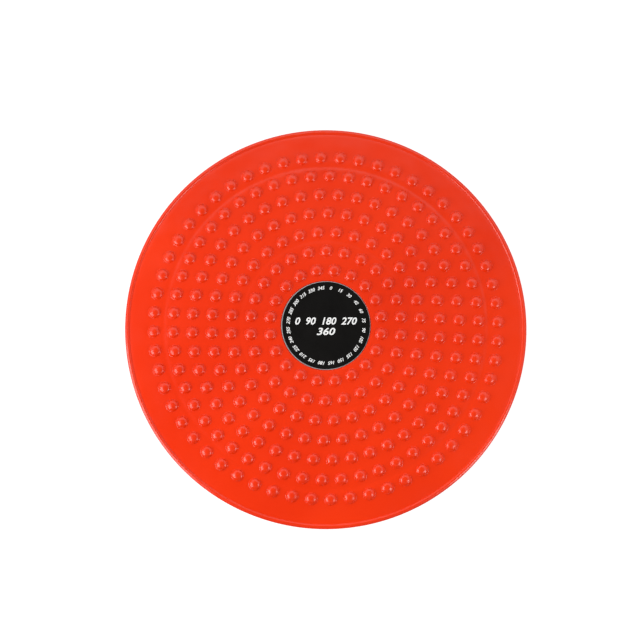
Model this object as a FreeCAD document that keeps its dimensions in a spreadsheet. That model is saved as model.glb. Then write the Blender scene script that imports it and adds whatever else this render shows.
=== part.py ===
import FreeCAD, Part
import Sketcher
import math
import os
import re

# Waist twisting disc: a domed, nubbed top disc that turns on a ring of caged steel balls
# over a smaller base that stands on six rubber pads. Millimetres, +Z up, the turning axis
# on Z, and the pads' undersides on Z = 0.

SHEET = {
    # top disc, seen from above
    "disc_radius": 124.5,
    "dome_radius": 700,
    "shell_wall": 2.4,
    "shoulder_width": 5,
    "shoulder_radius": 8,
    "bead_radius": 1.6,
    "bead_angle": 30,
    "skirt_bottom": 9,
    "skirt_wall": 2.2,
    "skirt_draft": 0.4,
    "skirt_blend": 2.5,
    # massage nubs
    "nub_radius": 3.8,
    "nub_height": 2,
    "nub_sink": 0.4,
    "nub_root": 1.2,
    "nub_margin": 1.2,
    "nub_label_space": 2.9,
    "nub_pitch": 12.0,
    "nub_first_count": 20,
    "nub_added_count": 6,
    "nub_line_angle": 117.3,
    # shallow rings that the ribs below leave in the surface
    "sink_half_width": 2.4,
    "sink_depth": 0.15,
    # label and the plug below it
    "label_radius": 27.4,
    "label_gap": 0.4,
    "label_drop": 1.2,
    "label_film": 0.25,
    "label_backing": 0.3,
    "label_margin": 0.4,
    "label_shift": 0.15,
    "label_zone_wall": 2.8,
    "label_zone_margin": 1.8,
    "plug_ledge": 2.9,
    "plug_plate": 1.5,
    "plug_gap": 0.1,
    "plug_skirt": 3,
    "plug_skirt_wall": 0.6,
    # hub and pivot
    "well_radius": 13,
    "well_wall": 3,
    "hub_floor": 3.5,
    "hub_gap": 0.6,
    "boss_drop": 1.3,
    "boss_wall": 3,
    "sleeve_gap": 0.1,
    "sleeve_wall": 1.9,
    "bush_wall": 2.45,
    "running_gap": 0.05,
    "head_gap": 0.2,
    "hex_chamfer": 0.8,
    "hex_chamfer_angle": 30,
    "bolt_radius": 3,
    "bolt_stick": 0.8,
    "bolt_head_flats": 10,
    "bolt_head_height": 4,
    "washer_radius": 9,
    "washer_hole_gap": 0.2,
    "washer_thickness": 1.6,
    "slip_washer_thickness": 1.5,
    "slip_washer_gap": 0.15,
    "axial_play": 0.1,
    "nut_height": 6,
    "nut_collar": 1.9,
    "nut_collar_radius": 4.6,
    "nut_collar_wall": 0.5,
    "nut_lip": 0.4,
    "bolt_point": 0.6,
    # ball bearing
    "ball_level": 14,
    "ball_radius": 3.5,
    "ball_circle": 53.25,
    "ball_gap": 0.03,
    "ball_count": 24,
    "race_sheet": 1.2,
    "race_groove_ease": 0.3,
    "race_groove_depth": 1.6,
    "race_half_width": 7,
    "race_gap": 0.1,
    "seat_ledge": 3.05,
    "seat_lip": 1.5,
    "cage_half_width": 5.5,
    "cage_thickness": 2.4,
    "pocket_gap": 0.2,
    # ribs inside both shells
    "rib_thickness": 1.6,
    "rib_bite": 0.8,
    "inner_rib_count": 15,
    "outer_rib_count": 30,
    "top_rib_drop": 2,
    "rib_ring_half": 0.9,
    "rib_ring_drop": 0.7,
    # base
    "rim_gap": 3.4,
    "base_floor": 3,
    "base_wall": 2.4,
    "base_edge": 3.5,
    "base_height": 10.5,
    "base_rib_height": 4,
    "nut_well_radius": 12.5,
    "nut_well_wall": 3,
    "nut_well_roof": 3,
    "nut_well_depth": 7.4,
    # rubber pads
    "pad_count": 6,
    "pad_radius": 12,
    "pad_thickness": 4,
    "pad_sink": 1.5,
    "pad_gap": 0.15,
    "pad_inset": 26.5,
    "pad_edge": 0.8,
    "pad_groove_radius": 7,
    "pad_groove_width": 1.2,
    "pad_groove_depth": 0.6,
    "cut_overrun": 1,
}

doc = FreeCAD.newDocument("waist_twisting_disc")
sheet = doc.addObject("Spreadsheet::Sheet", "Sizes")
for row, (alias, value) in enumerate(SHEET.items(), start=1):
    sheet.set(f"A{row}", alias)
    sheet.set(f"B{row}", str(value))
    sheet.setAlias(f"B{row}", alias)
doc.recompute()


def size(words):
    """An expression on the sheet, from one written in plain size names."""
    return re.sub("[a-z_]+", lambda word: f"Sizes.{word[0]}" if word[0] in SHEET else word[0], words)


def dome_height(radius, below="0"):
    """Height of the dome at a radius, or of the surface that lies a distance below it."""
    return f"{dome_top} - dome_radius + sqrt( ( dome_radius - {below} ) ^ 2 - ( {radius} ) ^ 2 )"


def new_body(label):
    body = doc.addObject("PartDesign::Body", label)
    body.Label = label
    return body


def origin_feature(body, role):
    return next(item for item in body.Origin.OriginFeatures if item.Role == role)


def new_sketch(body, name, plane="XZ_Plane"):
    sketch = body.newObject("Sketcher::SketchObject", name)
    sketch.AttachmentSupport = (origin_feature(body, plane), [""])
    sketch.MapMode = "FlatFace"
    return sketch


def arc_between(start, end, radius, side):
    """Arc from start to end. Side 1 bulges to the left of the way there, -1 to the right."""
    chord = end - start
    middle = (start + end) / 2
    normal = FreeCAD.Vector(chord.y, -chord.x, 0) / chord.Length
    height = math.sqrt(max(radius**2 - (chord.Length / 2) ** 2, 0))
    centre = middle + normal * height * side
    circle = Part.Circle(centre, FreeCAD.Vector(0, 0, 1), radius)
    first, last = (end, start) if side > 0 else (start, end)
    return Part.ArcOfCircle(circle, circle.parameter(first), circle.parameter(last))


def draw_outline(sketch, outline):
    """Closes an outline of (r, z) points written in sizes. A third and fourth entry make the way to
    a point an arc of that radius, bulging to the left (1) or right (-1)."""
    corners = [FreeCAD.Vector(*(float(sketch.evalExpression(size(v))) for v in p[:2]), 0) for p in outline]
    count = len(outline)
    starts, ends = [], []
    geometry = []
    for i, item in enumerate(outline):
        before, here = corners[i - 1], corners[i]
        if len(item) == 4:
            radius = float(sketch.evalExpression(size(item[2])))
            geometry.append(arc_between(before, here, radius, item[3]))
            starts.append(2 if item[3] > 0 else 1)
            ends.append(1 if item[3] > 0 else 2)
        else:
            geometry.append(Part.LineSegment(before, here))
            starts.append(1)
            ends.append(2)
    sketch.addGeometry(geometry, False)
    for i in range(count):
        following = (i + 1) % count
        sketch.addConstraint(Sketcher.Constraint("Coincident", i, ends[i], following, starts[following]))
    for i, item in enumerate(outline):
        for kind, words, value, axis in (
            ("DistanceX", item[0], corners[i].x, -2),
            ("DistanceY", item[1], corners[i].y, -1),
        ):
            if words == "0":
                sketch.addConstraint(Sketcher.Constraint("PointOnObject", i, ends[i], axis))
                continue
            index = sketch.addConstraint(Sketcher.Constraint(kind, -1, 1, i, ends[i], value))
            sketch.setExpression(f"Constraints[{index}]", size(words))
        if len(item) == 4:
            index = sketch.addConstraint(Sketcher.Constraint("Radius", i, geometry[i].Radius))
            sketch.setExpression(f"Constraints[{index}]", size(item[2]))


def revolve(body, name, outline):
    sketch = new_sketch(body, name + "_profile")
    draw_outline(sketch, outline)
    turned = body.newObject("PartDesign::Revolution", name)
    turned.Profile = sketch
    turned.ReferenceAxis = (origin_feature(body, "Z_Axis"), [""])
    turned.Angle = 360
    return turned


def around_axis(body, name, feature, count):
    """Repeats a feature of the body around the turning axis."""
    pattern = body.newObject("PartDesign::PolarPattern", name)
    pattern.Originals = [feature]
    pattern.Axis = (origin_feature(body, "Z_Axis"), [""])
    pattern.Angle = 360
    pattern.setExpression("Occurrences", size(count))
    body.Tip = pattern
    return pattern


def rib_set(body, name, outline, count):
    """A fin on the XZ plane, repeated around the axis."""
    sketch = new_sketch(body, name + "_profile")
    draw_outline(sketch, outline)
    fin = body.newObject("PartDesign::Pad", name)
    fin.Profile = sketch
    fin.Midplane = True
    fin.setExpression("Length", size("rib_thickness"))
    return around_axis(body, name + "_ring", fin, count)


def place(item, x="0", y="0", z="0", turn=None):
    for axis, words in (("x", x), ("y", y), ("z", z)):
        item.setExpression(f"Placement.Base.{axis}", size(words))
    if turn is not None:
        item.Placement.Rotation = FreeCAD.Rotation(FreeCAD.Vector(0, 0, 1), turn)


# Levels of the pivot's stack, from the pads up to the dome's top
base_under = "( pad_thickness - pad_sink )"
base_inside = f"( {base_under} + base_floor )"
well_roof_under = f"( {base_under} + nut_well_depth )"
nut_under = f"( {well_roof_under} - washer_thickness - nut_height )"
sleeve_bottom = f"( {well_roof_under} + nut_well_roof )"
boss_under = f"( {sleeve_bottom} + hub_gap )"
hub_under = f"( {boss_under} + boss_drop )"
hub_top = f"( {hub_under} + hub_floor )"
sleeve_top = f"( {hub_top} + slip_washer_thickness + axial_play )"
bolt_seat = f"( {sleeve_top} + washer_thickness )"
bolt_length = f"( {bolt_seat} - {nut_under} + bolt_stick )"
plate_under = f"( {bolt_seat} + bolt_head_height + head_gap )"
label_floor = f"( {plate_under} + plug_plate )"
dome_top = f"( {label_floor} + label_drop )"

# Radii and levels shared by pieces that meet
shoulder_start = "( disc_radius - shoulder_width )"
base_radius = "( disc_radius - skirt_draft - skirt_wall - rim_gap )"
pad_circle = f"( {base_radius} - pad_inset )"
label_edge = "( label_radius + label_gap )"
nub_first_circle = f"( {label_edge} + nub_label_space + nub_radius )"
plug_radius = "( well_radius + plug_ledge )"
washer_hole = "( bolt_radius + washer_hole_gap )"
sleeve_bore = "( bolt_radius + sleeve_gap )"
sleeve_radius = f"( {sleeve_bore} + sleeve_wall )"
bush_bore = f"( {sleeve_radius} + running_gap )"
bush_radius = f"( {bush_bore} + bush_wall )"
race_groove_radius = "( ball_radius + race_groove_ease )"
flange_rise = "( ball_radius + ball_gap - race_groove_depth )"
seat_rise = f"( {flange_rise} + race_sheet )"
race_inner = "( ball_circle - race_half_width )"
race_outer = "( ball_circle + race_half_width )"
lip_inner = f"( {race_inner} - race_gap )"
lip_outer = f"( {race_outer} + race_gap )"
seat_in = f"( {lip_inner} - seat_lip )"
seat_out = f"( {lip_outer} + seat_lip )"
channel_in = f"( {lip_inner} + seat_ledge )"
channel_out = f"( {lip_outer} - seat_ledge )"
sheath_radius = "( dome_radius - shell_wall )"


def race_profile(up):
    """Pressed ring: two flat flanges and a groove between them. Up is -1 for the lower ring."""
    sign = "+" if up > 0 else "-"

    def level(words):
        return f"ball_level {sign} ( {words} )"

    near = flange_rise
    far = seat_rise
    inner_half = f"sqrt( {race_groove_radius} ^ 2 - ( {race_groove_radius} - race_groove_depth ) ^ 2 )"
    back_radius = f"( {race_groove_radius} + race_sheet )"
    outer_half = f"sqrt( {back_radius} ^ 2 - ( {back_radius} - race_groove_depth ) ^ 2 )"
    return [
        (race_inner, level(near)),
        (f"ball_circle - {inner_half}", level(near)),
        (f"ball_circle + {inner_half}", level(near), race_groove_radius, up),
        (race_outer, level(near)),
        (race_outer, level(far)),
        (f"ball_circle + {outer_half}", level(far)),
        (f"ball_circle - {outer_half}", level(far), back_radius, -up),
        (race_inner, level(far)),
    ]


def top_disc():
    """Moulded shell with nubs outside and fins, a ball race seat and a bushed hub inside."""
    body = new_body("top_disc")
    zone_edge = f"( {label_edge} + label_zone_margin )"
    zone_under = f"( {label_floor} - label_zone_wall )"
    circles = nub_circles()
    rib_ring = f"( {nub_first_circle} + nub_pitch * ( {circles} - 3 / 2 ) )"
    ring_in = f"( {rib_ring} - rib_ring_half )"
    ring_out = f"( {rib_ring} + rib_ring_half )"
    seat = f"( ball_level + {seat_rise} )"
    lip = f"( ball_level + {flange_rise} )"
    # the shoulder is an arc inside the dome's own, tangent to it where it starts
    lean = f"( {shoulder_start} / dome_radius )"
    centre_r = f"( ( dome_radius - shoulder_radius ) * {lean} )"
    fall = f"sqrt( 1 - {lean} ^ 2 )"
    centre_z = f"( {dome_top} - dome_radius + ( dome_radius - shoulder_radius ) * {fall} )"
    valley_r = "( disc_radius - bead_radius * ( 1 + cos( bead_angle * 1 deg ) ) )"
    sine = f"( ( {valley_r} - {centre_r} ) / shoulder_radius )"
    cosine = f"sqrt( 1 - {sine} ^ 2 )"
    valley_z = f"( {centre_z} + shoulder_radius * {cosine} )"
    bead_z = f"( {valley_z} - bead_radius * sin( bead_angle * 1 deg ) )"
    inside = "( shoulder_radius - shell_wall )"
    skirt_in = "( disc_radius - skirt_draft - skirt_wall )"
    inner_end_z = f"( {centre_z} + {inside} * {cosine} )"
    rib_under = f"( {valley_z} - top_rib_drop )"
    ring_under = f"( {rib_under} - rib_ring_drop )"

    def under(radius):
        return (radius, dome_height(radius, "shell_wall"))

    def under_arc(radius):
        return (radius, dome_height(radius, "shell_wall"), sheath_radius, 1)

    def over(radius, bend="dome_radius", side=-1):
        return (radius, dome_height(radius), bend, side)

    sink_bend = "( sink_half_width ^ 2 / ( 2 * sink_depth ) )"
    sinks = []
    for middle in (rib_ring, "ball_circle"):
        sinks.append(over(f"( {middle} + sink_half_width )"))
        sinks.append(over(f"( {middle} - sink_half_width )", sink_bend, 1))
    shell = revolve(
        body,
        "shell",
        [
            (bush_radius, boss_under),
            (f"{bush_radius} + boss_wall", boss_under),
            (f"{bush_radius} + boss_wall", hub_under),
            ("well_radius + well_wall", hub_under),
            ("well_radius + well_wall", zone_under),
            (zone_edge, zone_under),
            under(zone_edge),
            under_arc(seat_in),
            (seat_in, lip),
            (lip_inner, lip),
            (lip_inner, seat),
            (channel_in, seat),
            under(channel_in),
            under_arc(channel_out),
            (channel_out, seat),
            (lip_outer, seat),
            (lip_outer, lip),
            (seat_out, lip),
            under(seat_out),
            under_arc(ring_in),
            (ring_in, ring_under),
            (ring_out, ring_under),
            under(ring_out),
            (f"{centre_r} + {inside} * {lean}", f"{centre_z} + {inside} * {fall}", sheath_radius, 1),
            (f"{centre_r} + {inside} * {sine}", inner_end_z, inside, 1),
            (skirt_in, f"{inner_end_z} - skirt_blend"),
            (skirt_in, "skirt_bottom"),
            ("disc_radius - skirt_draft", "skirt_bottom"),
            ("disc_radius", bead_z),
            (valley_r, valley_z, "bead_radius", -1),
            over(shoulder_start, "shoulder_radius", -1),
            *sinks,
            over(label_edge),
            (label_edge, label_floor),
            (f"{plug_radius} + plug_gap", label_floor),
            (f"{plug_radius} + plug_gap", plate_under),
            ("well_radius", plate_under),
            ("well_radius", hub_top),
            (bush_radius, hub_top),
        ],
    )
    root = f"{seat_in} + rib_bite"
    rib_set(
        body,
        "inner_rib",
        [
            ("well_radius + well_wall - rib_bite", rib_under),
            (root, rib_under),
            (root, dome_height(root, "( shell_wall - rib_bite )")),
            ("well_radius + well_wall - rib_bite", f"{zone_under} + rib_bite"),
        ],
        "inner_rib_count",
    )
    # the outer fins follow the dome and the shoulder, and end inside the wall where the shoulder ends
    root = f"{seat_out} - rib_bite"
    bend = "( dome_radius - shell_wall + rib_bite )"
    turn = f"( {inside} + rib_bite )"
    rib_set(
        body,
        "outer_rib",
        [
            (root, rib_under),
            (f"{centre_r} + {turn} * {sine}", rib_under),
            (f"{centre_r} + {turn} * {sine}", f"{centre_z} + {turn} * {cosine}"),
            (f"{centre_r} + {turn} * {lean}", f"{centre_z} + {turn} * {fall}", turn, -1),
            (root, dome_height(root, "( shell_wall - rib_bite )"), bend, -1),
        ],
        "outer_rib_count",
    )
    for number in range(circles):
        add_nubs(body, number)


def nub_circles():
    """As many circles of nubs as fit between the label and the shoulder."""
    room = "- shoulder_width - 2 * nub_radius - nub_margin - nub_label_space"
    return 1 + int(float(sheet.evalExpression(size(f"( disc_radius - {label_edge} {room} ) / nub_pitch"))))


def add_nubs(body, number):
    """One circle of round nubs, each the top of a flattened ball sunk a little into the dome. Every
    circle starts on the same line from the axis."""
    name = f"nub_{number + 1}"
    count = f"( nub_first_count + {number} * nub_added_count )"
    circle = f"( {nub_first_circle} + {number} * nub_pitch )"
    lean = f"( {circle} / dome_radius )"
    turn = "( nub_line_angle * 1 deg )"
    nub = body.newObject("PartDesign::AdditiveEllipsoid", name)
    nub.setExpression("Radius1", size("nub_height + nub_sink"))
    nub.setExpression("Radius2", size("nub_radius"))
    nub.setExpression("Radius3", size("nub_radius"))
    nub.setExpression("Angle1", size("- asin( nub_root / ( nub_height + nub_sink ) )"))
    arm = "( dome_radius - nub_sink )"
    nub.setExpression("Placement.Base.x", size(f"{arm} * {lean} * cos( {turn} )"))
    nub.setExpression("Placement.Base.y", size(f"{arm} * {lean} * sin( {turn} )"))
    level = f"{dome_top} - dome_radius + {arm} * sqrt( 1 - {lean} ^ 2 )"
    nub.setExpression("Placement.Base.z", size(level))
    nub.Placement.Rotation = FreeCAD.Rotation(FreeCAD.Vector(0, 1, 0), 1)
    nub.setExpression("Placement.Rotation.Axis.x", size(f"- sin( {turn} )"))
    nub.setExpression("Placement.Rotation.Axis.y", size(f"cos( {turn} )"))
    nub.setExpression("Placement.Rotation.Angle", size(f"asin( {lean} )"))
    around_axis(body, name + "_circle", nub, count)


def base_disc():
    body = new_body("base_disc")
    seat = f"ball_level - {seat_rise}"
    lip = f"ball_level - {flange_rise}"
    rim_top = f"{base_under} + base_height"
    inside = f"{base_radius} - base_wall"
    well = "nut_well_radius + nut_well_wall"
    revolve(
        body,
        "shell",
        [
            (washer_hole, well_roof_under),
            ("nut_well_radius", well_roof_under),
            ("nut_well_radius", base_under),
            (f"{base_radius} - base_edge", base_under),
            (base_radius, f"{base_under} + base_edge", "base_edge", -1),
            (base_radius, rim_top),
            (inside, rim_top),
            (inside, base_inside),
            (seat_out, base_inside),
            (seat_out, lip),
            (lip_outer, lip),
            (lip_outer, seat),
            (channel_out, seat),
            (channel_out, base_inside),
            (channel_in, base_inside),
            (channel_in, seat),
            (lip_inner, seat),
            (lip_inner, lip),
            (seat_in, lip),
            (seat_in, base_inside),
            (well, base_inside),
            (well, sleeve_bottom),
            (washer_hole, sleeve_bottom),
        ],
    )
    low = f"{base_inside} - rib_bite"
    high = f"{base_inside} + base_rib_height"
    for name, first, last, count in (
        ("inner_rib", f"{well} - rib_bite", f"{seat_in} + rib_bite", "inner_rib_count"),
        ("outer_rib", f"{seat_out} - rib_bite", f"{inside} + rib_bite", "outer_rib_count"),
    ):
        rib_set(body, name, [(first, low), (last, low), (last, high), (first, high)], count)
    sketch = new_sketch(body, "pad_seat_profile", "XY_Plane")
    draw_circle(sketch, pad_circle, "0", "pad_radius + pad_gap")
    seat_cut = body.newObject("PartDesign::Pocket", "pad_seat")
    seat_cut.Profile = sketch
    seat_cut.Reversed = True
    seat_cut.setExpression("Length", size("pad_thickness"))
    around_axis(body, "pad_seat_ring", seat_cut, "pad_count")


def draw_circle(sketch, x, y, radius):
    """A circle at (x, y), both written in sizes."""
    centre = FreeCAD.Vector(*(float(sketch.evalExpression(size(words))) for words in (x, y)), 0)
    value = float(sketch.evalExpression(size(radius)))
    index = sketch.addGeometry(Part.Circle(centre, FreeCAD.Vector(0, 0, 1), value), False)
    for kind, words, number, axis in (("DistanceX", x, centre.x, -2), ("DistanceY", y, centre.y, -1)):
        if words == "0":
            sketch.addConstraint(Sketcher.Constraint("PointOnObject", index, 3, axis))
        else:
            place = sketch.addConstraint(Sketcher.Constraint(kind, -1, 1, index, 3, number))
            sketch.setExpression(f"Constraints[{place}]", size(words))
    bound = sketch.addConstraint(Sketcher.Constraint("Radius", index, value))
    sketch.setExpression(f"Constraints[{bound}]", size(radius))


def draw_hexagon(sketch, flats):
    """A regular hexagon on the origin, flats this far apart."""
    value = float(sketch.evalExpression(size(flats)))
    reach = value / math.sqrt(3)
    points = []
    for corner in range(6):
        angle = math.radians(60 * corner)
        points.append(FreeCAD.Vector(reach * math.cos(angle), reach * math.sin(angle), 0))
    sides = [Part.LineSegment(points[i], points[(i + 1) % 6]) for i in range(6)]
    sketch.addGeometry(sides, False)
    for i in range(6):
        sketch.addConstraint(Sketcher.Constraint("Coincident", i, 2, (i + 1) % 6, 1))
    guide = sketch.addGeometry(Part.Circle(FreeCAD.Vector(0, 0, 0), FreeCAD.Vector(0, 0, 1), reach), True)
    sketch.addConstraint(Sketcher.Constraint("Coincident", guide, 3, -1, 1))
    for i in range(6):
        sketch.addConstraint(Sketcher.Constraint("PointOnObject", i, 1, guide))
    for i in range(5):
        sketch.addConstraint(Sketcher.Constraint("Equal", i, i + 1))
    sketch.addConstraint(Sketcher.Constraint("PointOnObject", 0, 1, -1))
    bound = sketch.addConstraint(Sketcher.Constraint("Radius", guide, reach))
    sketch.setExpression(f"Constraints[{bound}]", size(f"{flats} / sqrt( 3 )"))


def hexagon_block(body, height):
    """Hexagon prism from the body's origin up, its top corners turned off."""
    sketch = new_sketch(body, "hexagon", "XY_Plane")
    draw_hexagon(sketch, "bolt_head_flats")
    block = body.newObject("PartDesign::Pad", "block")
    block.Profile = sketch
    block.setExpression("Length", size(height))
    corner = "( bolt_head_flats / sqrt( 3 ) )"
    slope = "tan( hex_chamfer_angle * 1 deg )"
    groove(
        body,
        "corners_off",
        [
            (f"{corner} + cut_overrun", f"{height} - hex_chamfer - cut_overrun * {slope}"),
            (f"{corner} + cut_overrun", f"{height} + cut_overrun"),
            (f"{corner} - hex_chamfer / {slope}", f"{height} + cut_overrun"),
            (f"{corner} - hex_chamfer / {slope}", height),
        ],
    )


def groove(body, name, outline):
    sketch = new_sketch(body, name + "_profile")
    draw_outline(sketch, outline)
    cut = body.newObject("PartDesign::Groove", name)
    cut.Profile = sketch
    cut.ReferenceAxis = (origin_feature(body, "Z_Axis"), [""])
    cut.Angle = 360
    return cut


def turned_part(label, outline):
    """A body that is one turned outline."""
    body = new_body(label)
    revolve(body, "turned", outline)
    return body


def ring(label, inner, outer, low, high):
    """A plain flat ring between two levels."""
    return turned_part(label, [(inner, low), (outer, low), (outer, high), (inner, high)])


def pivot_bolt():
    """Hexagon bolt, head up. Its own origin is the head's underside."""
    body = new_body("pivot_bolt")
    hexagon_block(body, "bolt_head_height")
    revolve(
        body,
        "shank",
        [
            ("0", f"- {bolt_length}"),
            ("bolt_radius - bolt_point", f"- {bolt_length}"),
            ("bolt_radius", f"bolt_point - {bolt_length}"),
            ("bolt_radius", "bolt_head_height / 2"),
            ("0", "bolt_head_height / 2"),
        ],
    )
    place(body, z=bolt_seat)


def lock_nut():
    """Hexagon nut with a round collar below it that holds a nylon ring."""
    body = new_body("lock_nut")
    hexagon_block(body, "( nut_height - nut_collar )")
    revolve(
        body,
        "collar",
        [
            ("bolt_radius", "- nut_collar"),
            ("nut_collar_radius", "- nut_collar"),
            ("nut_collar_radius", "( nut_height - nut_collar ) / 2"),
            ("bolt_radius", "( nut_height - nut_collar ) / 2"),
        ],
    )
    groove(
        body,
        "bore",
        [
            ("0", "- nut_collar - cut_overrun"),
            ("nut_collar_radius - nut_collar_wall", "- nut_collar - cut_overrun"),
            ("nut_collar_radius - nut_collar_wall", "0"),
            ("bolt_radius", "0"),
            ("bolt_radius", "nut_height"),
            ("0", "nut_height"),
        ],
    )
    place(body, z=f"{nut_under} + nut_collar")


def ball_cage():
    body = ring(
        "ball_cage",
        "ball_circle - cage_half_width",
        "ball_circle + cage_half_width",
        "ball_level - cage_thickness / 2",
        "ball_level + cage_thickness / 2",
    )
    sketch = new_sketch(body, "pocket_profile", "XY_Plane")
    draw_circle(sketch, "ball_circle", "0", "ball_radius + pocket_gap")
    pocket = body.newObject("PartDesign::Pocket", "pocket")
    pocket.Profile = sketch
    pocket.Reversed = True
    pocket.setExpression("Length", size("ball_level + cage_thickness"))
    around_axis(body, "pocket_ring", pocket, "ball_count")


def hub_cap():
    """Plug below the label: a round plate with a thin skirt that grips the well."""
    skirt = "well_radius - plug_gap"
    turned_part(
        "hub_cap",
        [
            ("0", plate_under),
            (f"{skirt} - plug_skirt_wall", plate_under),
            (f"{skirt} - plug_skirt_wall", f"{plate_under} - plug_skirt"),
            (skirt, f"{plate_under} - plug_skirt"),
            (skirt, plate_under),
            (plug_radius, plate_under),
            (plug_radius, label_floor),
            ("0", label_floor),
        ],
    )


def foot_pad(number):
    """Rubber pad with a ring groove and a broken edge on the face it stands on."""
    body = turned_part(
        f"foot_pad_{number + 1}",
        [
            ("0", "0"),
            ("pad_groove_radius - pad_groove_width / 2", "0"),
            ("pad_groove_radius - pad_groove_width / 2", "pad_groove_depth"),
            ("pad_groove_radius + pad_groove_width / 2", "pad_groove_depth"),
            ("pad_groove_radius + pad_groove_width / 2", "0"),
            ("pad_radius - pad_edge", "0"),
            ("pad_radius", "pad_edge"),
            ("pad_radius", "pad_thickness"),
            ("0", "pad_thickness"),
        ],
    )
    turn = f"{number} * 360 deg / pad_count"
    place(body, f"{pad_circle} * cos( {turn} )", f"{pad_circle} * sin( {turn} )")


def ball(number):
    label = f"ball_{number + 1:02d}"
    item = doc.addObject("Part::Sphere", label)
    item.Label = label
    item.setExpression("Radius", size("ball_radius"))
    turn = f"{number} * 360 deg / ball_count"
    place(item, f"ball_circle * cos( {turn} )", f"ball_circle * sin( {turn} )", "ball_level")


top_disc()
turned_part("upper_race", race_profile(1))
ring("hub_bush", bush_bore, bush_radius, boss_under, hub_top)
slip_washer_top = f"{hub_top} + slip_washer_thickness"
ring("thrust_washer", f"{bush_bore} + slip_washer_gap", "washer_radius", hub_top, slip_washer_top)
hub_cap()
backing_top = f"{label_floor} + label_backing"
ring("label_backing", "0", "label_radius", label_floor, backing_top)
label = ring("centre_label", "0", "label_radius - label_margin", backing_top, f"{backing_top} + label_film")
place(label, x="label_shift")
base_disc()
turned_part("lower_race", race_profile(-1))
for index in range(SHEET["pad_count"]):
    foot_pad(index)
ring("spacer_sleeve", sleeve_bore, sleeve_radius, sleeve_bottom, sleeve_top)
ring("top_washer", washer_hole, "washer_radius", sleeve_top, bolt_seat)
ring("base_washer", washer_hole, "washer_radius", f"{well_roof_under} - washer_thickness", well_roof_under)
pivot_bolt()
lock_nut()
insert_radius = "nut_collar_radius - nut_collar_wall"
ring("lock_nut_insert", "bolt_radius", insert_radius, f"{nut_under} + nut_lip", f"{nut_under} + nut_collar")
ball_cage()
for index in range(SHEET["ball_count"]):
    ball(index)

doc.recompute()
faults = []
for item in doc.Objects:
    if "Invalid" in item.State or "Error" in item.State:
        faults.append(f"{item.Name}: {item.State}")
nodes = [item for item in doc.Objects if item.TypeId in ("PartDesign::Body", "Part::Sphere")]
for node in nodes:
    if node.Shape.isNull() or not node.Shape.isValid() or len(node.Shape.Solids) != 1:
        faults.append(f"{node.Label}: no single valid solid")
if faults:
    raise RuntimeError("\n".join(faults))

os.makedirs("parts", exist_ok=True)
for node in nodes:
    node.Shape.exportStep(f"parts/{node.Label}.step")
    print(f"{node.Label:18s} {node.Shape.Volume:12.2f} mm3")
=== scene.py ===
import math

import bpy
import numpy as np
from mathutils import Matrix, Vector


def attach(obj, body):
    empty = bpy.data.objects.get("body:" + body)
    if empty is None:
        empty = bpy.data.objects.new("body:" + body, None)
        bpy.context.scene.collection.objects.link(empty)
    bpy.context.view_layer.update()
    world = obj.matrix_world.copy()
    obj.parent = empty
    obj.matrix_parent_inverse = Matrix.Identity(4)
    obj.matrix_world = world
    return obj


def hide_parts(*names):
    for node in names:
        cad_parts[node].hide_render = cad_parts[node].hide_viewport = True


# Waist twisting disc, dressed for its picture: the solids of the frame get their finishes, the top disc is
# made again with finer nubs and edge, and the label gets its print. The disc's and the dial's sizes are
# in millimetres, heights start at the floor, and the turning axis is Z.

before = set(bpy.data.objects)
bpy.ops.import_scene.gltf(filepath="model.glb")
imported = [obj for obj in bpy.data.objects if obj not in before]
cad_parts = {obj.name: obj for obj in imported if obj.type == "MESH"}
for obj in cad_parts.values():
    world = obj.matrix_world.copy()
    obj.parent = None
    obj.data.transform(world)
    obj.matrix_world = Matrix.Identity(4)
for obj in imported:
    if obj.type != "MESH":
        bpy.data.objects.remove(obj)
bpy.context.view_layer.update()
mm = 0.001
print("frame loaded")


# Materials. Every one reads Object coordinates, so its grain stays on the piece when it turns.

noiseSpan = (0.3, 0.7)  # most of a noise's values lie between these
noiseDetail = {"patches": 2.0, "metalPatches": 3.0, "wear": 6.0, "grain": 2.0, "waves": 1.0, "rings": 2.0}


def newMaterial(name, settings):
    # a material whose shader has those values on its own sockets
    material = bpy.data.materials.new(name)
    material.use_nodes = True
    shader = material.node_tree.nodes["Principled BSDF"]
    for socket, value in settings.items():
        shader.inputs[socket].default_value = value
    return material, material.node_tree, shader


def addNode(tree, kind, settings=None, **inputs):
    # a node with each input linked to a socket or set to a value, "_" in a name standing for a space
    node = tree.nodes.new(kind)
    for name, value in (settings or {}).items():
        setattr(node, name, value)
    for name, value in inputs.items():
        socket = node.inputs[name.replace("_", " ")]
        if isinstance(value, bpy.types.NodeSocket):
            tree.links.new(value, socket)
        else:
            socket.default_value = value
    return node


def noiseValue(tree, coordinates, scale, kind):
    # noise from 0 to 1 of a position, scale in features per metre
    detail = noiseDetail[kind]
    noise = addNode(tree, "ShaderNodeTexNoise", Vector=coordinates, Scale=scale, Detail=detail)
    return noise.outputs["Fac"]


def spread(tree, value, low, high, start=0.0, end=1.0):
    # straight line that takes start to low and end to high
    ends = {"From_Min": start, "From_Max": end, "To_Min": low, "To_Max": high}
    return addNode(tree, "ShaderNodeMapRange", Value=value, **ends).outputs["Result"]


def combined(tree, operation, a, b):
    # the product or the larger of a socket's number and b's, where b is a socket too or a plain number
    node = addNode(tree, "ShaderNodeMath", {"operation": operation})
    tree.links.new(a, node.inputs[0])
    if isinstance(b, bpy.types.NodeSocket):
        tree.links.new(b, node.inputs[1])
    else:
        node.inputs[1].default_value = b
    return node.outputs["Value"]


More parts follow.
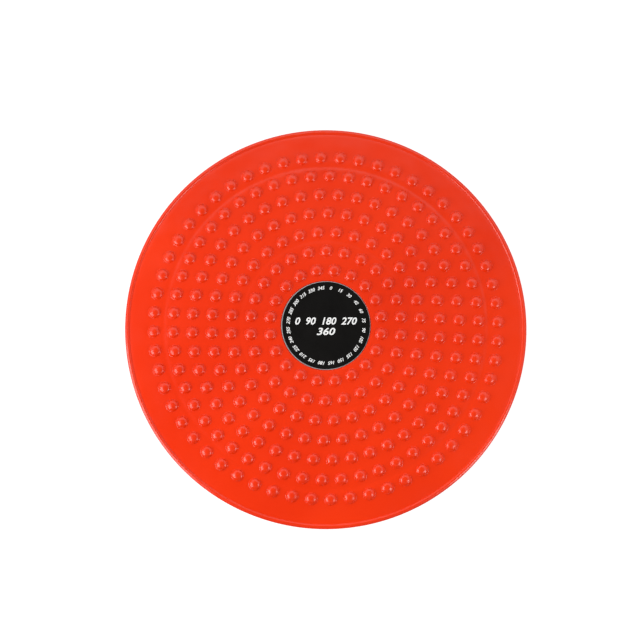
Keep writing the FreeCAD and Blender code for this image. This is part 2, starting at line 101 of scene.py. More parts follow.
def tinted(tree, value, dark, light):
    # colour between dark and light by a value from 0 to 1
    ramp = addNode(tree, "ShaderNodeValToRGB", Fac=value)
    ramp.color_ramp.elements[0].color = (*dark, 1.0)
    ramp.color_ramp.elements[1].color = (*light, 1.0)
    ramp.color_ramp.elements[0].position = noiseSpan[0]
    ramp.color_ramp.elements[1].position = noiseSpan[1]
    return ramp.outputs["Color"]


def mouldedFinish(name, look):
    # colour wanders between two shades over large patches, roughness over smaller ones,
    # and the bump adds a fine grain and long soft waves
    material, tree, shader = newMaterial(name, look["shader"])
    place = addNode(tree, "ShaderNodeTexCoord").outputs["Object"]
    patches = noiseValue(tree, place, look["patchScale"], "patches")
    tree.links.new(tinted(tree, patches, look["dark"], look["light"]), shader.inputs["Base Color"])
    wear = noiseValue(tree, place, look["wearScale"], "wear")
    tree.links.new(spread(tree, wear, *look["roughness"], *noiseSpan), shader.inputs["Roughness"])
    grain = noiseValue(tree, place, look["grainScale"], "grain")
    waves = noiseValue(tree, place, look["waveScale"], "waves")
    fine = {"Height": grain, "Strength": look["grainStrength"], "Distance": look["grainDepth"]}
    grained = addNode(tree, "ShaderNodeBump", **fine).outputs["Normal"]
    soft = {"Height": waves, "Strength": 1.0, "Distance": look["waveDepth"], "Normal": grained}
    tree.links.new(addNode(tree, "ShaderNodeBump", **soft).outputs["Normal"], shader.inputs["Normal"])
    return material


def turnedMetal(name, look):
    # fine rings round the axis, as left by turning or rolling, in bump and roughness
    material, tree, shader = newMaterial(name, look["shader"])
    place = addNode(tree, "ShaderNodeTexCoord").outputs["Object"]
    patches = noiseValue(tree, place, look["patchScale"], "metalPatches")
    tree.links.new(tinted(tree, patches, look["dark"], look["light"]), shader.inputs["Base Color"])
    apart = addNode(tree, "ShaderNodeSeparateXYZ", Vector=place)
    across = addNode(tree, "ShaderNodeCombineXYZ", X=apart.outputs["X"], Y=apart.outputs["Y"])
    reach = addNode(tree, "ShaderNodeVectorMath", {"operation": "LENGTH"})
    tree.links.new(across.outputs["Vector"], reach.inputs[0])
    ringPlace = addNode(tree, "ShaderNodeCombineXYZ", X=reach.outputs["Value"], Y=apart.outputs["Z"])
    rings = noiseValue(tree, ringPlace.outputs["Vector"], look["ringScale"], "rings")
    tree.links.new(spread(tree, rings, *look["roughness"], *noiseSpan), shader.inputs["Roughness"])
    groove = {"Height": rings, "Strength": look["ringStrength"], "Distance": look["ringDepth"]}
    tree.links.new(addNode(tree, "ShaderNodeBump", **groove).outputs["Normal"], shader.inputs["Normal"])
    return material


topPlasticLook = {
    "shader": {"Specular IOR Level": 0.4},
    "dark": (0.745, 0.026, 0.001),
    "light": (0.825, 0.034, 0.002),
    "patchScale": 14.0,
    "wearScale": 60.0,
    "roughness": (0.16, 0.26),
    "grainScale": 1400.0,
    "grainStrength": 0.25,
    "grainDepth": 0.00006,
    "waveScale": 55.0,
    "waveDepth": 0.0005,
}
basePlasticLook = {
    "shader": {"Specular IOR Level": 0.4},
    "dark": (0.010, 0.010, 0.011),
    "light": (0.022, 0.022, 0.023),
    "patchScale": 20.0,
    "wearScale": 80.0,
    "roughness": (0.38, 0.58),
    "grainScale": 1800.0,
    "grainStrength": 0.5,
    "grainDepth": 0.00012,
    "waveScale": 30.0,
    "waveDepth": 0.0002,
}
rubberLook = {
    "shader": {"Specular IOR Level": 0.3},
    "dark": (0.012, 0.012, 0.012),
    "light": (0.030, 0.029, 0.028),
    "patchScale": 60.0,
    "wearScale": 220.0,
    "roughness": (0.62, 0.86),
    "grainScale": 2600.0,
    "grainStrength": 0.8,
    "grainDepth": 0.00015,
    "waveScale": 160.0,
    "waveDepth": 0.0001,
}
nylonLook = {
    "shader": {"Specular IOR Level": 0.45, "Subsurface Weight": 0.15, "Subsurface Scale": 0.002},
    "dark": (0.66, 0.63, 0.54),
    "light": (0.80, 0.77, 0.69),
    "patchScale": 40.0,
    "wearScale": 150.0,
    "roughness": (0.34, 0.50),
    "grainScale": 1600.0,
    "grainStrength": 0.4,
    "grainDepth": 0.00008,
    "waveScale": 70.0,
    "waveDepth": 0.0001,
}
blueNylonLook = {**nylonLook, "dark": (0.02, 0.06, 0.30), "light": (0.04, 0.11, 0.45)}
silverFilmLook = {
    "shader": {"Metallic": 0.75},
    "dark": (0.62, 0.62, 0.63),
    "light": (0.78, 0.78, 0.79),
    "patchScale": 120.0,
    "wearScale": 300.0,
    "roughness": (0.30, 0.42),
    "grainScale": 3000.0,
    "grainStrength": 0.2,
    "grainDepth": 0.00003,
    "waveScale": 90.0,
    "waveDepth": 0.00005,
}
blackFilmLook = {
    "shader": {"Specular IOR Level": 0.1},
    "dark": (0.0026, 0.0022, 0.0019),
    "light": (0.0042, 0.0036, 0.0031),
    "patchScale": 60.0,
    "wearScale": 200.0,
    "roughness": (0.46, 0.60),
    "grainScale": 2400.0,
    "grainStrength": 0.2,
    "grainDepth": 0.00003,
    "waveScale": 60.0,
    "waveDepth": 0.00006,
}
whiteInkLook = {
    "shader": {"Specular IOR Level": 0.3},
    "dark": (0.80, 0.80, 0.79),
    "light": (0.88, 0.88, 0.87),
    "patchScale": 500.0,
    "wearScale": 700.0,
    "roughness": (0.40, 0.55),
    "grainScale": 4000.0,
    "grainStrength": 0.2,
    "grainDepth": 0.00002,
    "waveScale": 200.0,
    "waveDepth": 0.00001,
}
raceSteelLook = {
    "shader": {"Metallic": 1.0},
    "dark": (0.50, 0.50, 0.52),
    "light": (0.64, 0.64, 0.66),
    "patchScale": 60.0,
    "ringScale": 3000.0,
    "roughness": (0.22, 0.40),
    "ringStrength": 0.4,
    "ringDepth": 0.00004,
}
zincLook = {
    **raceSteelLook,
    "dark": (0.50, 0.50, 0.47),
    "light": (0.66, 0.66, 0.62),
    "roughness": (0.28, 0.46),
}
ballSteelLook = {
    **raceSteelLook,
    "dark": (0.66, 0.66, 0.68),
    "light": (0.76, 0.76, 0.78),
    "roughness": (0.06, 0.14),
    "ringDepth": 0.000005,
}

topPlastic = mouldedFinish("orange moulded plastic", topPlasticLook)
basePlastic = mouldedFinish("black moulded plastic", basePlasticLook)
padRubber = mouldedFinish("black rubber", rubberLook)
nylon = mouldedFinish("natural nylon", nylonLook)
blueNylon = mouldedFinish("blue nylon", blueNylonLook)
silverFilm = mouldedFinish("silver film", silverFilmLook)
blackFilm = mouldedFinish("black printed film", blackFilmLook)
whiteInk = mouldedFinish("white ink", whiteInkLook)
raceSteel = turnedMetal("pressed race steel", raceSteelLook)
zincSteel = turnedMetal("zinc plated steel", zincLook)
ballSteel = turnedMetal("polished ball steel", ballSteelLook)

nodeFinishes = {
    "base_disc": basePlastic,
    "hub_cap": basePlastic,
    "upper_race": raceSteel,
    "lower_race": raceSteel,
    "hub_bush": nylon,
    "thrust_washer": nylon,
    "ball_cage": nylon,
    "lock_nut_insert": blueNylon,
    "label_backing": silverFilm,
    "centre_label": blackFilm,
    "spacer_sleeve": zincSteel,
    "top_washer": zincSteel,
    "base_washer": zincSteel,
    "pivot_bolt": zincSteel,
    "lock_nut": zincSteel,
}
for name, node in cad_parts.items():
    finish = nodeFinishes.get(name)
    if name.startswith("foot_pad"):
        finish = padRubber
    elif name.startswith("ball_") and name != "ball_cage":
        finish = ballSteel
    if finish:
        node.data.materials.clear()
        node.data.materials.append(finish)
print("finishes made")


# Mesh helpers

sharpAngle = 35.0  # an edge that bends more than this, in degrees, is drawn sharp


def makePiece(name, vertices, faces, material):
    # a smooth mesh. Faces are a list of index arrays, each of one width (triangles or quads).
    mesh = bpy.data.meshes.new(name)
    counts = np.concatenate([np.full(len(part), part.shape[1]) for part in faces])
    loops = np.concatenate([part.ravel() for part in faces]).astype(np.int32)
    mesh.vertices.add(len(vertices))
    mesh.vertices.foreach_set("co", np.asarray(vertices, dtype=np.float32).ravel())
    mesh.loops.add(len(loops))
    mesh.loops.foreach_set("vertex_index", loops)
    mesh.polygons.add(len(counts))
    starts = np.concatenate([[0], np.cumsum(counts)[:-1]]).astype(np.int32)
    mesh.polygons.foreach_set("loop_start", starts)
    mesh.update(calc_edges=True)
    mesh.validate()
    mesh.polygons.foreach_set("use_smooth", np.ones(len(counts), dtype=bool))
    mesh.set_sharp_from_angle(angle=math.radians(sharpAngle))
    mesh.materials.append(material)
    piece = bpy.data.objects.new(name, mesh)
    bpy.context.scene.collection.objects.link(piece)
    return piece


class Surface:
    # collects closed loops of points round the axis and the faces between them. Loops are added in the
    # order of a walk that keeps the outside on its left.
    def __init__(self):
        self.points = []
        self.faces = {3: [], 4: []}
        self.total = 0

    def add(self, points):
        # keeps new points and gives their numbers
        first = self.total
        self.points.append(points)
        self.total += len(points)
        return np.arange(first, self.total)

    def join(self, a, b):
        # loops of equal length get a quad a step. Otherwise every step along one loop makes a triangle
        # with the point that the other loop has reached by then.
        if len(a) == len(b):
            self.faces[4].append(np.stack([a, b, np.roll(b, -1), np.roll(a, -1)], axis=1))
            return
        countA, countB = len(a), len(b)
        i, j = np.arange(countA), np.arange(countB)
        reachedB = (-(-(i + 1) * countB // countA) - 1) % countB
        reachedA = ((j + 1) * countA // countB) % countA
        self.faces[3].append(np.stack([a, b[reachedB], np.roll(a, -1)], axis=1))
        self.faces[3].append(np.stack([b, np.roll(b, -1), a[reachedA]], axis=1))

    def walk(self, loop, profile, count, start):
        # turns a profile of (radius, height) points round the axis, from a loop onwards
        for radius, rise in profile:
            following = self.add(ringPoints(radius, rise, count, start))
            if loop is not None:
                self.join(loop, following)
            loop = following
        return loop

    def piece(self, name, material):
        faces = [np.concatenate(part) for part in self.faces.values() if part]
        return makePiece(name, np.concatenate(self.points) * mm, faces, material)


def ringPoints(radius, rise, count, start):
    # points at even steps round the axis, at one radius and height
    turn = start + np.arange(count) * 2 * math.pi / count
    return np.stack([radius * np.cos(turn), radius * np.sin(turn), np.full(count, rise)], axis=1)


def arcPoints(centre, radius, first, last, steps):
    # points on an arc in the (radius, height) plane between two angles in degrees
    turn = np.radians(np.linspace(first, last, steps + 1))
    return [(centre[0] + radius * math.cos(t), centre[1] + radius * math.sin(t)) for t in turn]


# Top disc: one closed surface from the hub's bore over the nubbed dome and back under it

disc = {
    "radius": 124.5,
    "domeTop": 28.4,
    "domeRadius": 700.0,
    "wall": 2.4,
    "shoulderStart": 119.5,
    "shoulderRadius": 8.0,
    "beadRadius": 1.6,
    "beadTurn": 150.0,
    "beadStart": 142.3,
    # each arc's radius and the angle it ends at
    "beadArcs": ((1.6, 100.0), (0.8, 72.0), (4.0, 52.0), (0.69, 0.0)),
    "softShoulder": 30.0,
    "skirtBottom": 9.0,
    "skirtWall": 2.2,
    "skirtDraft": 0.4,
    "skirtBlend": 2.5,
    "skirtRound": 0.4,
    "nubRadius": 3.8,
    "nubHeight": 2.0,
    "nubSink": 0.4,
    "nubFillet": 0.45,
    "filletSamples": 2001,
    "nubFirstCircle": 34.5,
    "nubPitch": 12.0,
    "nubCounts": (20, 26, 32, 38, 44, 50, 56),
    "nubLineTurn": 117.3,
    "nubRingShares": (1.0, 0.86, 0.5),
    "sinkMiddles": (53.25, 100.5),
    "sinkHalf": 2.4,
    "sinkDepth": 0.15,
    "labelEdge": 27.8,
    "labelLip": 0.25,
    "labelLipTurns": (0, 30, 60, 90),
    "cellHalf": 4.6,
    "pointsPerSide": 4,
    "fillerSteps": 4,
    "underStep": 9.0,
    "shoulderSteps": 6,
    "beadSteps": 5,
    "edgeSteps": 3,
    "innerShoulderSteps": 8,
    # (radius, height) points: the hub's well and the label's recess, and the boss below them
    "hub": ((7.5, 18.3), (13.0, 18.3), (13.0, 25.7), (16.0, 25.7), (16.0, 27.2), (27.8, 27.2)),
    "boss": ((29.6, 24.4), (16.0, 24.4), (16.0, 14.8), (10.5, 14.8), (10.5, 13.5)),
    # rings below the dome: outer edge, points between, inner edge
    "seats": (
        (101.4, ((101.4, 14.79), (99.6, 14.79)), 99.6),
        (61.85, ((61.85, 15.93), (60.35, 15.93), (60.35, 17.13), (57.3, 17.13)), 57.3),
        (49.2, ((49.2, 17.13), (46.15, 17.13), (46.15, 15.93), (44.65, 15.93)), 44.65),
    ),
    "ribLevel": 15.49,
    "ribHalf": 0.8,
    "ribBite": 0.8,
    # fins: how many, inner radius, outer radius at the bottom and at the top
    "ribs": ((15, 15.2, 45.45, 45.45), (30, 61.05, 120.84, 119.2)),
}


def nubShape():
    # distances from the nub's middle where its small fillet meets the dome and the nub. The fillet is a
    # circle beside the nub's flattened ball, its centre one fillet radius above the dome. It's looked for
    # in even samples over the ball's lowest 60 degrees.
    tall, wide, fillet = disc["nubHeight"] + disc["nubSink"], disc["nubRadius"], disc["nubFillet"]
    turn = np.linspace(0, math.pi / 3, disc["filletSamples"])
    slopeAcross, slopeUp = np.cos(turn) / wide, np.sin(turn) / tall
    length = np.hypot(slopeAcross, slopeUp)
    above = tall * np.sin(turn) - disc["nubSink"] + fillet * slopeUp / length - fillet
    foot = np.interp(0.0, above, wide * np.cos(turn) + fillet * slopeAcross / length)
    return foot, np.interp(0.0, above, wide * np.cos(turn))


def nubRise(distance):
    # height over the dome: the top of a flattened ball that runs out in a hollow fillet
    foot, touch = nubShape()
    tall = disc["nubHeight"] + disc["nubSink"]
    ball = tall * np.sqrt(np.maximum(1 - (distance / disc["nubRadius"]) ** 2, 0)) - disc["nubSink"]
    hollow = disc["nubFillet"] - np.sqrt(np.maximum(disc["nubFillet"] ** 2 - (foot - distance) ** 2, 0))
    return np.where(distance < touch, ball, np.where(distance < foot, hollow, 0.0))


def domeRise(radius):
    # a ball's surface, with a shallow wave's trough over each ring that stands below it
    rise = disc["domeTop"] - disc["domeRadius"] + np.sqrt(disc["domeRadius"] ** 2 - radius**2)
    for middle in disc["sinkMiddles"]:
        share = np.clip(np.abs(radius - middle) / disc["sinkHalf"], 0, 1)
        rise = rise - disc["sinkDepth"] * (1 + np.cos(math.pi * share)) / 2
    return rise


def topRise(x, y):
    # the dome, plus the nub whose middle is nearest
    radius = np.hypot(x, y)
    counts = np.asarray(disc["nubCounts"])
    number = np.clip(np.rint((radius - disc["nubFirstCircle"]) / disc["nubPitch"]), 0, len(counts) - 1)
    circle = disc["nubFirstCircle"] + number * disc["nubPitch"]
    step = 2 * math.pi / counts[number.astype(int)]
    start = math.radians(disc["nubLineTurn"])
    turn = start + step * np.rint((np.arctan2(y, x) - start) / step)
    return domeRise(radius) + nubRise(np.hypot(x - circle * np.cos(turn), y - circle * np.sin(turn)))


def onTop(radius, turn):
    # points of the nubbed dome above a radius and an angle
    x, y = (radius * np.cos(turn)).ravel(), (radius * np.sin(turn)).ravel()
    return np.stack([x, y, topRise(x, y)], axis=1)


def cellBorders(surface, circle, count, begin):
    # one circle of cells, each with a nub's room: loops along its inner and its outer side, straight walls
    # between cells, and the border of each cell as one row of point numbers
    side, half = disc["pointsPerSide"], disc["cellHalf"]
    step = 2 * math.pi / count
    edgeTurn = begin + np.arange(count * side) * step / side
    inner = surface.add(onTop(circle - half, edgeTurn))
    outer = surface.add(onTop(circle + half, edgeTurn))
    sideways = np.arange(side) / side * 2 - 1
    wallTurn = np.repeat(begin + step * np.arange(count), side - 1)
    wallRadius = circle + half * np.tile(sideways[1:], count)
    walls = surface.add(onTop(wallRadius, wallTurn)).reshape(count, side - 1)
    cell, along = np.arange(count), np.arange(side)
    border = np.concatenate(
        [
            inner[cell[:, None] * side + along],
            inner[(cell[:, None] + 1) * side % len(inner)],
            walls[(cell + 1) % count],
            outer[((cell[:, None] + 1) * side - along) % len(outer)],
            outer[cell[:, None] * side],
            walls[:, ::-1],
        ],
        axis=1,
    )
    return inner, outer, border


def nubBand(surface, number):
    # in each cell of a circle, loops go from its four sides through circles to the nub's top
    count = disc["nubCounts"][number]
    circle = disc["nubFirstCircle"] + number * disc["nubPitch"]
    step = 2 * math.pi / count
    begin = math.radians(disc["nubLineTurn"]) - step / 2
    inner, outer, border = cellBorders(surface, circle, count, begin)
    side = disc["pointsPerSide"]
    sideways = np.arange(side) / side * 2 - 1
    one = np.ones(side)
    upAround = np.concatenate([-one, sideways, one, -sideways])
    around = np.arctan2(upAround, np.concatenate([sideways, one, -sideways, -one]))
    middle = (begin + step * (np.arange(count) + 0.5))[:, None]
    foot, touch = nubShape()
    previous = border
    for radius in (foot, *(touch * share for share in disc["nubRingShares"])):
        out = circle + radius * np.sin(around)[None, :]
        beside = radius * np.cos(around)[None, :]
        points = onTop(np.hypot(out, beside), middle + np.arctan2(beside, out))
        loop = surface.add(points).reshape(count, -1)
        quads = np.stack([previous, loop, np.roll(loop, -1, 1), np.roll(previous, -1, 1)], axis=2)
        surface.faces[4].append(quads.reshape(-1, 4))
        previous = loop
    tops = surface.add(onTop(circle, middle))
    tops = np.repeat(tops[:, None], previous.shape[1], 1)
    surface.faces[3].append(np.stack([previous, tops, np.roll(previous, -1, 1)], axis=2).reshape(-1, 3))
    return inner, outer


def shoulderCentre(radius):
    # middle of an arc that leaves the dome's curve without a corner where the shoulder starts
    lean = disc["shoulderStart"] / disc["domeRadius"]
    arm = disc["domeRadius"] - radius
    return arm * lean, disc["domeTop"] - disc["domeRadius"] + arm * math.sqrt(1 - lean**2)


def rimProfile():
    # shoulder arc off the dome, a small bead of tangent arcs, the skirt, and the shoulder's inner arc back
    # up. The shoulder's outer side bends less than its inner side, so it meets the bead a little higher.
    centre = shoulderCentre(disc["shoulderRadius"])
    bead = disc["beadRadius"]
    reach = -math.cos(math.radians(disc["beadTurn"])) * bead
    drop = math.sin(math.radians(disc["beadTurn"])) * bead
    valley = disc["radius"] - bead - reach
    low = math.degrees(math.acos((valley - centre[0]) / disc["shoulderRadius"]))
    high = 90 - math.degrees(math.asin(disc["shoulderStart"] / disc["domeRadius"]))
    valleyRise = centre[1] + disc["shoulderRadius"] * math.sin(math.radians(low))
    soft = disc["softShoulder"]
    outer = shoulderCentre(soft)
    turn, radius = disc["beadStart"], bead
    middle = (valley + reach, valleyRise - drop)
    meeting = middle[0] + bead * math.cos(math.radians(turn))
    meetingTurn = math.degrees(math.acos((meeting - outer[0]) / soft))
    profile = arcPoints(outer, soft, high, meetingTurn, disc["shoulderSteps"])
    for following, end in disc["beadArcs"]:
        step, lean = radius - following, math.radians(turn)
        middle = (middle[0] + step * math.cos(lean), middle[1] + step * math.sin(lean))
        profile += arcPoints(middle, following, turn, end, disc["beadSteps"])[1:]
        turn, radius = end, following
    out = disc["radius"] - disc["skirtDraft"]
    into = out - disc["skirtWall"]
    bottom, small = disc["skirtBottom"], disc["skirtRound"]
    profile += arcPoints((out - small, bottom + small), small, 0, -90, disc["edgeSteps"])
    profile += arcPoints((into + small, bottom + small), small, -90, -180, disc["edgeSteps"])
    under = disc["shoulderRadius"] - disc["wall"]
    innerArc = arcPoints(centre, under, low, high, disc["innerShoulderSteps"])
    profile += [(into, innerArc[0][1] - disc["skirtBlend"])]
    return profile + innerArc


def underArc(first, last):
    # points on the dome's inner surface between two radii
    steps = max(1, round(abs(last - first) / disc["underStep"]))
    radius = disc["domeRadius"] - disc["wall"]
    base = disc["domeTop"] - disc["domeRadius"]
    return [(r, base + math.sqrt(radius**2 - r**2)) for r in np.linspace(first, last, steps + 1)]


def ribBlocks(surface):
    # fins below the dome, each a thin block that stands in the shell's wall
    for count, root, tip, highTip in disc["ribs"]:
        low = disc["ribLevel"]
        tipRoof, rootRoof = (underArc(r, r)[0][1] + disc["ribBite"] for r in (highTip, root))
        outline = np.array([(root, low), (tip, low), (highTip, tipRoof), (root, rootRoof)])
        turn = 2 * math.pi * np.arange(count) / count
        c, s = np.cos(turn)[:, None], np.sin(turn)[:, None]
        corners = []
        for half in (-disc["ribHalf"], disc["ribHalf"]):
            x = outline[None, :, 0] * c - half * s
            y = outline[None, :, 0] * s + half * c
            corners.append(np.stack([x, y, np.broadcast_to(outline[None, :, 1], x.shape)], axis=2))
        block = surface.add(np.concatenate(corners, axis=1).reshape(-1, 3)).reshape(count, 8)
        near, far = block[:, :4], block[:, 4:]
        surface.faces[4] += [near, far[:, ::-1]]
        surface.faces[4].append(
            np.stack([near, far, np.roll(far, -1, 1), np.roll(near, -1, 1)], axis=2).reshape(-1, 4)
        )


def makeTopDisc():
    # the hub's well and the label's recess, then each circle of nubs with plain loops up to it, the rim,
    # the underside with its seats, the boss, and last the bore that closes the walk
    surface = Surface()
    lineTurn = math.radians(disc["nubLineTurn"])
    begins = [lineTurn - math.pi / number for number in disc["nubCounts"]]
    counts = [number * disc["pointsPerSide"] for number in disc["nubCounts"]]
    lip, edge = disc["labelLip"], disc["labelEdge"]
    lipTurns = np.radians(disc["labelLipTurns"])
    recess = [(edge + lip - lip * math.cos(t), -lip + lip * math.sin(t)) for t in lipTurns]
    rim = [(r, float(domeRise(np.array(r))) + drop) for r, drop in recess]
    bore = surface.walk(None, disc["hub"][:1], counts[0], begins[0])
    loop = surface.walk(bore, [*disc["hub"][1:], *rim], counts[0], begins[0])
    topStart = surface.total
    for number, count in enumerate(counts):
        circle = disc["nubFirstCircle"] + number * disc["nubPitch"]
        if number:
            gap = disc["nubPitch"] - 2 * disc["cellHalf"]
            first = circle - disc["cellHalf"] - gap
            turn = begins[number] + np.arange(count) * 2 * math.pi / count
            for share in np.arange(1, disc["fillerSteps"]) / disc["fillerSteps"]:
                following = surface.add(onTop(first + gap * share, turn))
                surface.join(loop, following)
                loop = following
        inner, outer = nubBand(surface, number)
        surface.join(loop, inner)
        loop = outer
    top = slice(topStart, surface.total)
    under = rimProfile()
    for outerEdge, seat, innerEdge in disc["seats"]:
        under += underArc(under[-1][0], outerEdge)[1:]
        under += [*seat, underArc(innerEdge, innerEdge)[0]]
    under += underArc(under[-1][0], disc["boss"][0][0])[1:]
    loop = surface.walk(loop, [*under, *disc["boss"]], counts[-1], begins[-1])
    surface.walk(loop, [(disc["hub"][0][0], disc["boss"][-1][1])], counts[0], begins[0])
    foot = np.arange(surface.total - counts[0], surface.total)
    surface.join(foot, bore)
    ribBlocks(surface)
    return surface, top


def setTopNormals(piece, surface, top):
    # each point of the dome gets the slope of its own formula, measured over a small reach to either side.
    # A zero leaves the other points as they are.
    points = np.concatenate(surface.points)[top]
    x, y = points[:, 0], points[:, 1]
    reach = 0.02
    slopeX = (topRise(x + reach, y) - topRise(x - reach, y)) / (2 * reach)
    slopeY = (topRise(x, y + reach) - topRise(x, y - reach)) / (2 * reach)
    upward = np.stack([-slopeX, -slopeY, np.ones(len(points))], axis=1)
    normals = np.zeros((surface.total, 3))
    normals[top] = upward / np.linalg.norm(upward, axis=1)[:, None]
    piece.data.normals_split_custom_set_from_vertices(normals)


surface, top = makeTopDisc()
topDisc = surface.piece("top_disc_shell", topPlastic)
setTopNormals(topDisc, surface, top)
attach(topDisc, "top")
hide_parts("top_disc")
print("top disc:", len(topDisc.data.polygons), "faces")


# Label print: plain numbers on a dial, in white ink on the black film

dial = {
    "level": 27.75,
    "ink": 0.03,
    "shift": 0.15,
    "numberRadius": 22.3,
    "numberSize": 2.1,
    "numberStep": 15,
    "numberStart": 7.5,
    # words, their height, their width, and how far they stand above the middle
    "lines": (("0  90  180  270", 4.6, 38.0, 0.4), ("360", 4.6, 11.4, -6.0)),
    "slant": 0.25,
    "weight": 0.02,
    "halfDepth": 0.5,
    "resolution": 3,
}


def inkText(words, height, width=None):
    # the text's own mesh, its capitals of that height and its middle at the origin
    curve = bpy.data.curves.new("ink", "FONT")
    curve.body = words
    curve.shear = dial["slant"]
    curve.offset = dial["weight"]
    curve.extrude = dial["halfDepth"]
    curve.resolution_u = dial["resolution"]
    holder = bpy.data.objects.new("ink", curve)
    bpy.context.scene.collection.objects.link(holder)
    bpy.context.view_layer.update()
    mesh = bpy.data.meshes.new_from_object(holder.evaluated_get(bpy.context.evaluated_depsgraph_get()))
    points = np.empty(len(mesh.vertices) * 3)
    mesh.vertices.foreach_get("co", points)
    points = points.reshape(-1, 3)
    faces = [tuple(face.vertices) for face in mesh.polygons]
    bpy.data.objects.remove(holder)
    bpy.data.curves.remove(curve)
    bpy.data.meshes.remove(mesh)
    low, high = points.min(axis=0), points.max(axis=0)
    scale = height / (high[1] - low[1])
    across = width / (high[0] - low[0]) if width else scale
    points = (points - (low + high) / 2) * np.array([across, scale, dial["ink"]])
    points[:, 2] += dial["ink"] / 2
    return points, faces


def placed(points, x, y, turn=0.0):
    # text turned about its middle, then moved to its place on the label
    c, s = math.cos(turn), math.sin(turn)
    across, up, rise = points.T
    turned = np.stack([across * c - up * s, across * s + up * c, rise], axis=1)
    return turned + np.array([x + dial["shift"], y, dial["level"]])


def makeDialPrint():
    # the lines in the middle, and numbers at even steps clockwise round the edge with their feet inward
    allPoints, allFaces, total = [], [], 0
    prints = []
    for words, height, width, rise in dial["lines"]:
        points, faces = inkText(words, height, width)
        prints.append((placed(points, 0.0, rise + height / 2), faces))
    for number in range(0, 360, dial["numberStep"]):
        turn = math.radians(90 - dial["numberStart"] - number)
        points, faces = inkText(str(number), dial["numberSize"])
        radius = dial["numberRadius"] + dial["numberSize"] / 2
        x, y = radius * math.cos(turn), radius * math.sin(turn)
        prints.append((placed(points, x, y, turn - math.pi / 2), faces))
    for points, faces in prints:
        allPoints.append(points)
        allFaces += [tuple(index + total for index in face) for face in faces]
        total += len(points)
    mesh = bpy.data.meshes.new("dial_print")
    mesh.from_pydata(np.concatenate(allPoints) * mm, [], allFaces)
    mesh.materials.append(whiteInk)
    piece = bpy.data.objects.new("dial_print", mesh)
    bpy.context.scene.collection.objects.link(piece)
    return piece


dialPrint = makeDialPrint()
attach(dialPrint, "top")
print("dial print:", len(dialPrint.data.polygons), "faces")


# Studio: pale floor, soft surroundings and two softboxes. Turns are degrees from +X, and sizes are metres
# but for the rim's level, which is in millimetres like the disc's own.

studio = {
    "floorHalf": 3.0,
    "floorWhite": 0.40,
    "floorRoughness": 0.9,
    "floorSpecular": 0.1,
    "floorGlow": 0.80,
    "ceiling": 0.17,
    "ceilingStart": 0.86,
    "walls": 0.95,
    "wallsEnd": 0.76,
    "horizon": 0.3,
    "horizonRise": (0.12, 0.5),
    "windowTurn": 86.0,
    "windowShares": (0.1, 2.15),
    "softboxes": (
        {"name": "left softbox", "turn": 202.0, "rise": 28.0, "power": 6.3, "width": 0.72, "height": 0.52},
        {"name": "right softbox", "turn": 326.0, "rise": 33.0, "power": 2.4, "width": 0.37, "height": 0.34},
    ),
    "softboxReach": 0.9,
    "eyeRise": 83.4,
    "eyeReach": 1.2,
    "eyeWidth": 640.0,
    "eyeEnd": 20.0,
    "discPixels": 200.7,
    "discMiddle": (325.8, 327.4),
    "rimLevel": 16.7,
}


def makeFloor():
    # a pale sheet that takes the object's shadow. To the camera and in reflections it glows as well, so
    # it looks white, and that glow lights nothing.
    half = studio["floorHalf"]
    corners = [(-half, -half, 0), (half, -half, 0), (half, half, 0), (-half, half, 0)]
    mesh = bpy.data.meshes.new("floor")
    mesh.from_pydata(corners, [], [(0, 1, 2, 3)])
    floor = bpy.data.objects.new("floor", mesh)
    bpy.context.scene.collection.objects.link(floor)
    look = {
        "Base Color": (studio["floorWhite"],) * 3 + (1.0,),
        "Roughness": studio["floorRoughness"],
        "Specular IOR Level": studio["floorSpecular"],
    }
    material, tree, shader = newMaterial("pale floor", look)
    path = addNode(tree, "ShaderNodeLightPath")
    seen = combined(tree, "MAXIMUM", path.outputs["Is Camera Ray"], path.outputs["Is Transmission Ray"])
    seen = combined(tree, "MAXIMUM", seen, path.outputs["Is Glossy Ray"])
    glow = combined(tree, "MULTIPLY", seen, studio["floorGlow"])
    emission = addNode(tree, "ShaderNodeEmission", Strength=glow)
    both = addNode(tree, "ShaderNodeAddShader")
    tree.links.new(shader.outputs["BSDF"], both.inputs[0])
    tree.links.new(emission.outputs["Emission"], both.inputs[1])
    tree.links.new(both.outputs["Shader"], tree.nodes["Material Output"].inputs["Surface"])
    mesh.materials.append(material)


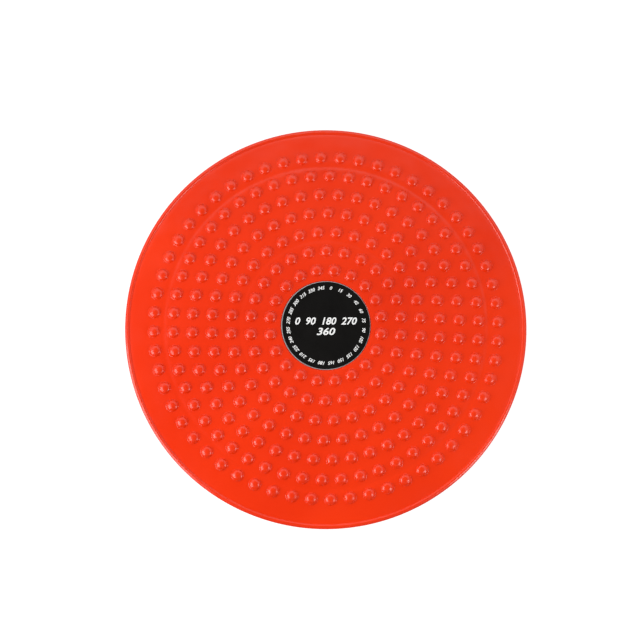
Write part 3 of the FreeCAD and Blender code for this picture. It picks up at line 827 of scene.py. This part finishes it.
def makeSurroundings():
    # white walls below a grey ceiling, dimmer towards the floor, and brighter on the window's side by the
    # cosine of the turn from it
    world = bpy.data.worlds.new("studio")
    bpy.context.scene.world = world
    world.use_nodes = True
    tree = world.node_tree
    place = addNode(tree, "ShaderNodeTexCoord").outputs["Generated"]
    rise = addNode(tree, "ShaderNodeSeparateXYZ", Vector=place).outputs["Z"]
    whites = (studio["walls"], studio["ceiling"])
    level = spread(tree, rise, *whites, studio["wallsEnd"], studio["ceilingStart"])
    window = addNode(tree, "ShaderNodeVectorMath", {"operation": "DOT_PRODUCT"})
    tree.links.new(place, window.inputs[0])
    turn = math.radians(studio["windowTurn"])
    window.inputs[1].default_value = (math.cos(turn), math.sin(turn), 0.0)
    brighter = spread(tree, window.outputs["Value"], *studio["windowShares"], -1.0, 1.0)
    dimmer = spread(tree, rise, studio["horizon"], 1.0, *studio["horizonRise"])
    strength = combined(tree, "MULTIPLY", combined(tree, "MULTIPLY", level, dimmer), brighter)
    tree.links.new(strength, tree.nodes["Background"].inputs["Strength"])
    tree.nodes["Background"].inputs["Color"].default_value = (1.0, 1.0, 1.0, 1.0)


def makeSoftbox(setting):
    # an oblong lamp at a turn and a rise as seen from the middle of the floor, facing that middle
    turn, rise = math.radians(setting["turn"]), math.radians(setting["rise"])
    flat = math.cos(rise)
    direction = Vector((math.cos(turn) * flat, math.sin(turn) * flat, math.sin(rise)))
    lamp = bpy.data.lights.new(setting["name"], "AREA")
    lamp.shape = "RECTANGLE"
    lamp.size = setting["width"]
    lamp.size_y = setting["height"]
    lamp.energy = setting["power"]
    holder = bpy.data.objects.new(setting["name"], lamp)
    holder.location = direction * studio["softboxReach"]
    holder.rotation_euler = direction.to_track_quat("Z", "Y").to_euler()
    bpy.context.scene.collection.objects.link(holder)


def makeCamera():
    # the disc's widest circle has the photograph's radius in pixels and lies where it lies there
    rise = math.radians(studio["eyeRise"])
    back = Vector((0, -math.cos(rise), math.sin(rise)))
    up = Vector((0, math.sin(rise), math.cos(rise)))
    camera = bpy.data.cameras.new("camera")
    eye = bpy.data.objects.new("camera", camera)
    pixel = disc["radius"] * mm / studio["discPixels"]
    camera.lens = camera.sensor_width * studio["eyeReach"] / (pixel * studio["eyeWidth"])
    half = studio["eyeWidth"] / 2
    right = (half - studio["discMiddle"][0]) * pixel
    higher = (studio["discMiddle"][1] - half) * pixel
    aim = Vector((0, 0, studio["rimLevel"] * mm)) + Vector((1, 0, 0)) * right + up * higher
    eye.location = aim + back * studio["eyeReach"]
    eye.rotation_euler = back.to_track_quat("Z", "Y").to_euler()
    camera.clip_end = studio["eyeEnd"]
    bpy.context.scene.collection.objects.link(eye)
    bpy.context.scene.camera = eye


makeFloor()
makeSurroundings()
for setting in studio["softboxes"]:
    makeSoftbox(setting)
makeCamera()
bpy.context.scene.view_settings.view_transform = "Standard"
print("studio ready")
